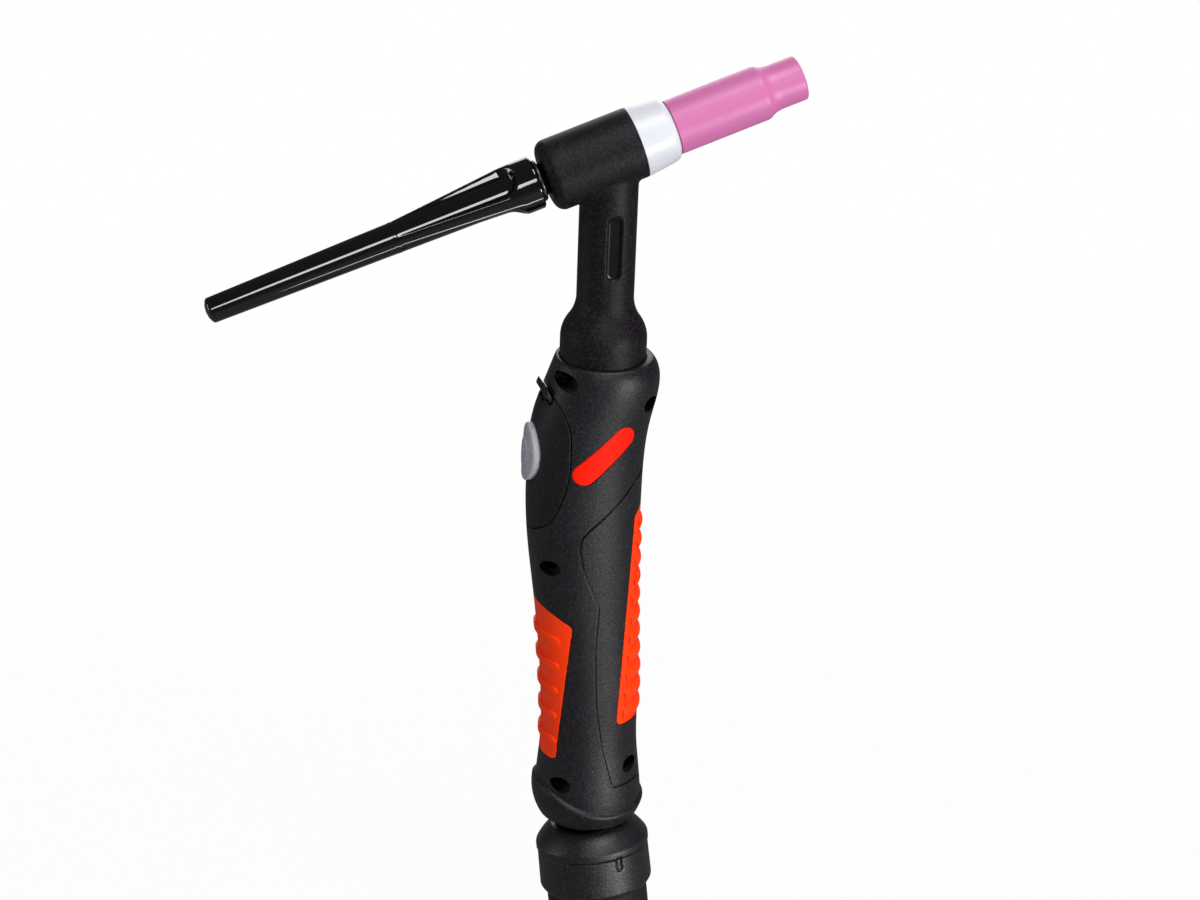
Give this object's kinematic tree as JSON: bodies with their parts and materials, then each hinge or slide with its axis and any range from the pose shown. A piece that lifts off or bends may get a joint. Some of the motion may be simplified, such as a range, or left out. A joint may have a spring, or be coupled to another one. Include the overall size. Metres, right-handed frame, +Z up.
{
  "type": "tig torch",
  "caption": "Hand torch for gas tungsten arc welding with a ceramic nozzle, long back cap, trigger switch, soft grip pads and a ball knuckle at the cable end",
  "frame": {"origin": "middle of the grip, on the handle's long axis", "axes": "+Z up the handle to the head, +X to the side that the nozzle points to, Y across the handle"},
  "size_m": [0.202, 0.048, 0.3397],
  "materials": {
    "brass": "turned, dull",
    "copper": "drawn copper, dull",
    "black_cover": "satin, lightly grained moulding",
    "black_shell": "fine stippled satin",
    "black_module": "fine stippled satin",
    "white_shield": "satin fluoropolymer",
    "pink_ceramic": "satin fired alumina",
    "tungsten": "ground bright",
    "gloss_black": "glossy moulding",
    "seal_rubber": "smooth",
    "black_steel": "blackened",
    "orange_label": "satin, bare",
    "orange_grip": "soft satin elastomer",
    "grey_button": "soft satin",
    "spring_steel": "bright",
    "green_board": "solder mask",
    "switch_black": "moulded",
    "switch_red": "moulded",
    "terminal_green": "moulded",
    "lead_insulation": "extruded",
    "connector_white": "moulded",
    "seat_plastic": "turned low-friction plastic",
    "black_knuckle": "satin moulding",
    "black_rubber": "satin"
  },
  "bodies": {
    "handle": {"head_core": "brass", "neck_tube": "copper", "power_stud": "brass", "head_cover": "black_cover", "heat_shield": "white_shield", "nozzle": "pink_ceramic", "collet_body": "copper", "collet": "copper", "handle_right": "black_shell", "handle_left": "black_shell", "handle_screws": "black_steel", "label_plate_right": "orange_label", "label_plate_left": "orange_label", "front_grip_right": "orange_grip", "front_grip_left": "orange_grip", "rear_grip_right": "orange_grip", "rear_grip_left": "orange_grip", "trigger_module": "black_module", "return_spring": "spring_steel", "switch_board": "green_board", "board_screws": "spring_steel", "switch_body": "switch_black", "terminal_block": "terminal_green", "control_leads": "lead_insulation", "lead_connector": "connector_white"},
    "cap_carrier": {"cap_o_ring": "seal_rubber"},
    "back_cap": {"back_cap": "gloss_black"},
    "electrode": {"electrode": "tungsten"},
    "trigger": {"trigger_button": "grey_button"},
    "plunger": {"switch_plunger": "switch_red"},
    "latch": {"module_latch": "black_module"},
    "ball_carrier": {"ball_seat_ring": "seat_plastic"},
    "knuckle": {"knuckle_ball": "black_knuckle", "knuckle_dome": "black_knuckle", "lock_nut": "black_knuckle", "knuckle_ring": "black_knuckle", "rear_sleeve": "black_rubber"}
  },
  "joints": [
    {"name": "cap_travel", "type": "slide", "parent": "handle", "child": "cap_carrier", "axis": [-0.9426, 0, -0.3338], "range_m": [0, 0.0035]},
    {"name": "cap_turn", "type": "hinge", "parent": "cap_carrier", "child": "back_cap", "pos_m": [0, 0, 0.16], "axis": [-0.9426, 0, -0.3338], "range_deg": [0, 993]},
    {"name": "electrode_feed", "type": "slide", "parent": "handle", "child": "electrode", "axis": [0.9426, 0, 0.3338], "range_m": [-0.02, 0.012]},
    {"name": "trigger_press", "type": "slide", "parent": "handle", "child": "trigger", "axis": [1, 0, 0], "range_m": [0, 0.0015], "stiffness_N_per_m": 600, "springref_m": -0.001, "deforming": ["return_spring"]},
    {"name": "plunger_press", "type": "slide", "parent": "handle", "child": "plunger", "axis": [1, 0, 0], "range_m": [0, 0.0015]},
    {"name": "latch_flex", "type": "hinge", "parent": "handle", "child": "latch", "pos_m": [-0.0201, 0, 0.0735], "axis": [0, 1, 0], "range_deg": [-5, 0], "stiffness_Nm_per_rad": 0.05},
    {"name": "knuckle_swivel", "type": "hinge", "parent": "handle", "child": "ball_carrier", "pos_m": [0.0008, 0, -0.0877], "axis": [0, 0, 1], "range_deg": [-180, 180]},
    {"name": "knuckle_tilt", "type": "hinge", "parent": "ball_carrier", "child": "knuckle", "pos_m": [0.0008, 0, -0.0877], "axis": [-0.891, -0.454, 0], "range_deg": [-27, 6]}
  ],
  "couplings": [
    {"joint": "cap_turn", "follows": "cap_travel", "rad_per_m": 4947.4},
    {"joint": "plunger_press", "follows": "trigger_press", "ratio": 1}
  ]
}
